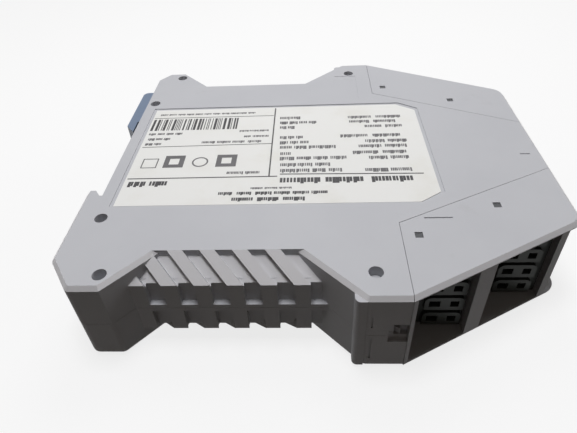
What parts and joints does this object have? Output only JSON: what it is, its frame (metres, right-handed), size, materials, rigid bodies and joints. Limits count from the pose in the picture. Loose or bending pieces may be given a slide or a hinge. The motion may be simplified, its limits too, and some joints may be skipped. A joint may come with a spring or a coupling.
{
  "type": "safety relay",
  "caption": "Slim safety relay housing lying on its side, with slotted vents, plug-in terminal sockets at both ends, status lamps and a sprung rail catch.",
  "frame": {"origin": "centre of the bounding box, on the plain side that the housing lies on", "axes": "+X from the rail side to the operator's side, -Y towards the upper terminals, +Z through the width from the plain side to the label side"},
  "size_m": [0.1116, 0.099, 0.0225],
  "materials": {
    "housing": "fine satin grain",
    "label_foil": "matt film",
    "header_plastic": "satin",
    "contact_metal": "tinned",
    "lamp_lens": "clear",
    "foot_plastic": "satin",
    "spring_steel": "bright",
    "board_laminate": "lacquered",
    "chip_black": "moulded",
    "relay_case": "smooth",
    "capacitor_sleeve": "sleeved",
    "fuse_coating": "dipped"
  },
  "bodies": {
    "housing": {"label_side_shell": "housing", "plain_side_shell": "housing", "label": "label_foil", "upper_terminal_carrier": "housing", "lower_terminal_carrier": "housing", "front_cover": "housing", "power_lamp": "lamp_lens", "channel_one_lamp": "lamp_lens", "channel_two_lamp": "lamp_lens", "foot_spring": "spring_steel", "main_board": "board_laminate", "logic_board": "board_laminate", "board_link": "header_plastic", "logic_chips": "chip_black", "relay_one": "relay_case", "relay_two": "relay_case", "supply_capacitor": "capacitor_sleeve", "surge_fuse": "fuse_coating", "bridge_rectifier": "chip_black", "upper_rear_header": "header_plastic", "upper_front_header": "header_plastic", "lower_rear_header": "header_plastic", "lower_front_header": "header_plastic", "upper_rear_contacts": "contact_metal", "upper_front_contacts": "contact_metal", "lower_rear_contacts": "contact_metal", "lower_front_contacts": "contact_metal"},
    "foot": {"foot_catch": "foot_plastic"}
  },
  "joints": [
    {"name": "foot_slide", "type": "slide", "parent": "housing", "child": "foot", "axis": [0, 1, 0], "range_m": [0, 0.0025], "stiffness_N_per_m": 1500, "springref_m": -0.001, "deforming": ["foot_spring"]}
  ]
}
